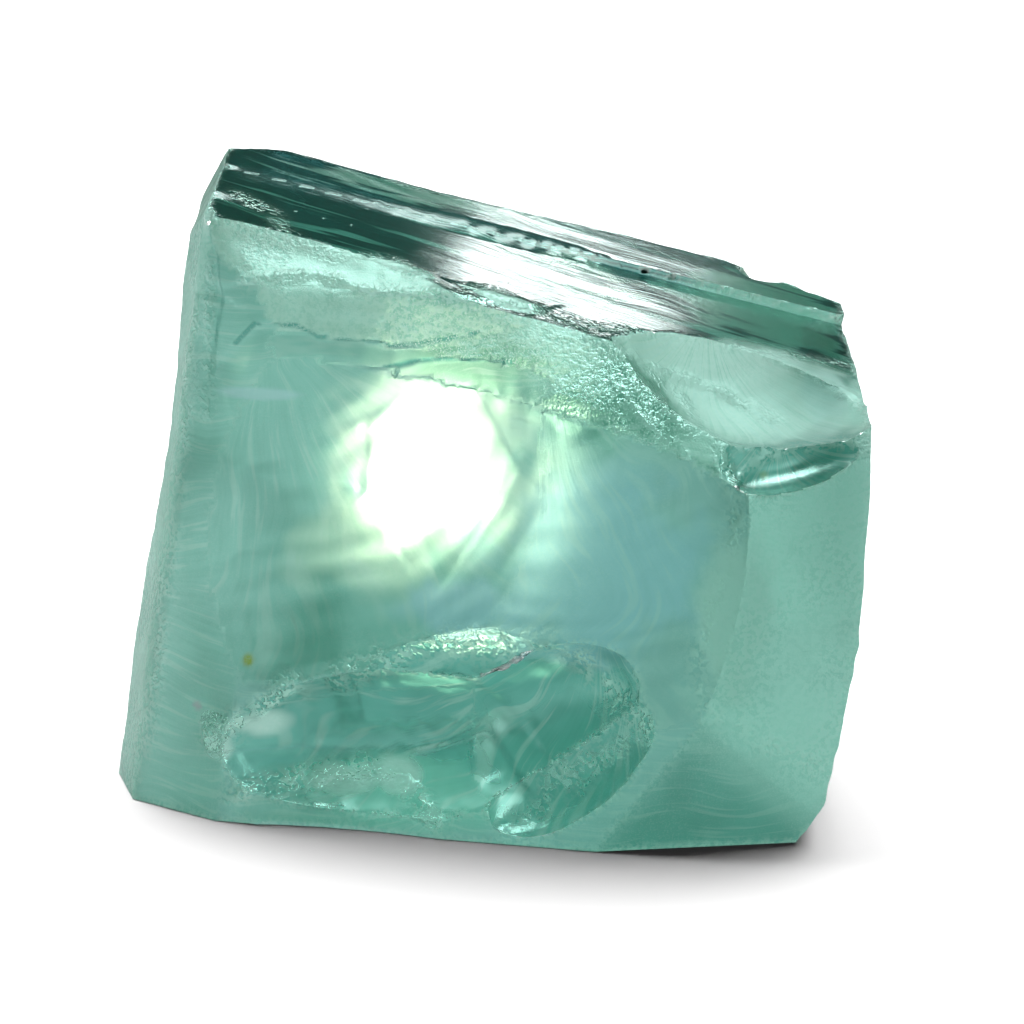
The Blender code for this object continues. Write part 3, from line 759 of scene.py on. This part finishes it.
def beryl():
    """Clear green-blue beryl: plain glass with an even depth of colour, tinted and frosted at its skin."""
    material = bpy.data.materials.new("aquamarine_glass")
    material.use_nodes = True
    bench = Bench(material.node_tree)
    glass = bench.nodes["Principled BSDF"].inputs
    output = bench.nodes["Material Output"].inputs
    bench.set(glass["IOR"], BERYL_IOR)
    bench.set(glass["Transmission Weight"], 1.0)
    bench.set(glass["Specular Tint"], SHEEN_TINT)

    marks = marks_of(bench)
    bench.set(glass["Base Color"], skin_colour(bench, marks))
    rough = bench.math("MULTIPLY_ADD", marks.bruise, -0.15, bench.attribute("frost"))
    rough = bench.math("MULTIPLY_ADD", marks.sparkle, 0.12, rough)
    bench.set(glass["Roughness"], bench.math("MINIMUM", rough, 0.85))
    bench.set(glass["Normal"], bench.add("Bump", {"Strength": 1.0, "Distance": MM,
                                                  "Height": skin_height(bench, marks)}))
    bench.set(output["Volume"], bench.add("VolumeAbsorption", {"Color": DEPTH_COLOUR, "Density": DEPTH_DENSITY}))
    return material


def floor_paint():
    """Matt white."""
    material = bpy.data.materials.new("studio_white")
    material.use_nodes = True
    paint = material.node_tree.nodes["Principled BSDF"]
    paint.inputs["Base Color"].default_value = FLOOR_WHITE
    paint.inputs["Roughness"].default_value = 0.9
    paint.inputs["Specular IOR Level"].default_value = 0.0
    return material


# ---------------------------------------------------------------------------------------------------------------
# Studio

FLOOR_SIZE = 800
FLOOR_GAP = 0.05

BACKDROP = (0.8, 0.8, 0.8, 1)
# How bright the room is where it mirrors in the stone, where it is seen through it, and below.
WALL_MIRRORED = 0.05
WALL_LEFT, WALL_RIGHT = 1.05, 0.58
GROUND_LIGHT = 0.85

CAMERA_AIM = Vector((2.2, 0.7, 17.8))
CAMERA_TILT = math.radians(15)
CAMERA_FAR = 182.9


def make_floor():
    """A plain white sheet just under the foot. It isn't seen through the stone."""
    sheet = bmesh.new()
    bmesh.ops.create_grid(sheet, x_segments=1, y_segments=1, size=FLOOR_SIZE * MM,
                          matrix=Matrix.Translation((0, 0, -FLOOR_GAP * MM)))
    data = bpy.data.meshes.new("studio_floor")
    sheet.to_mesh(data)
    sheet.free()
    floor = bpy.data.objects.new("studio_floor", data)
    floor.data.materials.append(floor_paint())
    bpy.context.scene.collection.objects.link(floor)
    floor.visible_transmission = False


def soft_light(name, place, aim, size, watts, hidden, spread=180, colour=(1, 1, 1)):
    """A soft square lamp. hidden names the kinds of ray that can't see it."""
    lamp = bpy.data.lights.new(name, "AREA")
    lamp.shape = "RECTANGLE"
    lamp.size, lamp.size_y = size[0] * MM, size[1] * MM
    lamp.energy = watts
    lamp.color = colour
    lamp.spread = math.radians(spread)
    light = bpy.data.objects.new(name, lamp)
    light.location = Vector(place) * MM
    light.rotation_euler = (Vector(aim) - Vector(place)).to_track_quat("-Z", "Y").to_euler()
    light.visible_camera = False
    for kind in hidden:
        setattr(light, "visible_" + kind, False)
    bpy.context.scene.collection.objects.link(light)


def make_room():
    """A white backdrop that lights the stone from below and through it, under a wall that is dark in reflections."""
    world = bpy.data.worlds.new("studio")
    bpy.context.scene.world = world
    world.use_nodes = True
    bench = Bench(world.node_tree)
    way = bench.add("TexCoord", output="Generated")
    aside = bench.add("SeparateXYZ", {0: way}, output="X")
    upward = bench.add("SeparateXYZ", {0: way}, output="Z")
    through = bench.add("LightPath", output="Is Transmission Ray")
    wall = bench.ramp(through, 0.0, 1.0, WALL_MIRRORED, bench.ramp(aside, -0.32, 0.0, WALL_LEFT, WALL_RIGHT))
    room = bench.add("Background", {"Color": (1, 1, 1, 1),
                                    "Strength": bench.ramp(upward, -0.10, 0.05, GROUND_LIGHT, wall)})
    backdrop = bench.add("Background", {"Color": BACKDROP, "Strength": 1.0})
    seen = bench.add("LightPath", output="Is Camera Ray")
    bench.set(bench.nodes["World Output"].inputs["Surface"], bench.add("MixShader", {0: seen, 1: room, 2: backdrop}))


def hang_lamps():
    """A wide ceiling for the floor, lamps that only mirror in the stone, and a small one that shines through it."""
    mirrored = ("diffuse", "transmission")
    soft_light("ceiling", (0, 480, 1080), (0, 280, 0), (1900, 950), 44, hidden=("transmission",))
    soft_light("strip", (62, 268, 174), (4, 1, 34), (40, 16), 0.030, mirrored)
    soft_light("box", (80, 10, 450), (4, -6, 25), (240, 400), 5.6, mirrored)
    soft_light("front", (240, -320, 100), (10, -12, 15), (230, 230), 2.2, mirrored)
    soft_light("glow", (1.6, 29.7, 13.5), (-0.8, 12, 18.5), (10, 11), 0.00029, hidden=("diffuse", "glossy"),
               spread=34, colour=(1.0, 0.64, 0.48))


def make_camera():
    """A long lens in front of the stone that looks down a little on its top."""
    lens = bpy.data.cameras.new("camera")
    lens.lens, lens.sensor_width = 100, 36
    lens.clip_start, lens.clip_end = 0.01, 10
    camera = bpy.data.objects.new("camera", lens)
    back = Vector((0, -math.cos(CAMERA_TILT), math.sin(CAMERA_TILT)))
    camera.location = (CAMERA_AIM + CAMERA_FAR * back) * MM
    camera.rotation_euler = (math.radians(90) - CAMERA_TILT, 0, 0)
    bpy.context.scene.collection.objects.link(camera)
    bpy.context.scene.camera = camera


def set_light_paths():
    """As many bounces as light needs to cross the stone and come out again, and no more."""
    paths = bpy.context.scene.cycles
    paths.caustics_refractive = paths.caustics_reflective = False
    paths.use_light_tree = False
    paths.max_bounces = paths.transmission_bounces = 5
    paths.glossy_bounces = 3
    paths.diffuse_bounces = 0


bpy.context.scene.view_settings.view_transform = "Standard"
set_light_paths()
make_floor()
make_room()
hang_lamps()
make_camera()
stone = make_stone(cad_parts["aquamarine"])
stone.data.materials.append(beryl())
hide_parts("aquamarine")
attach(stone, "root")
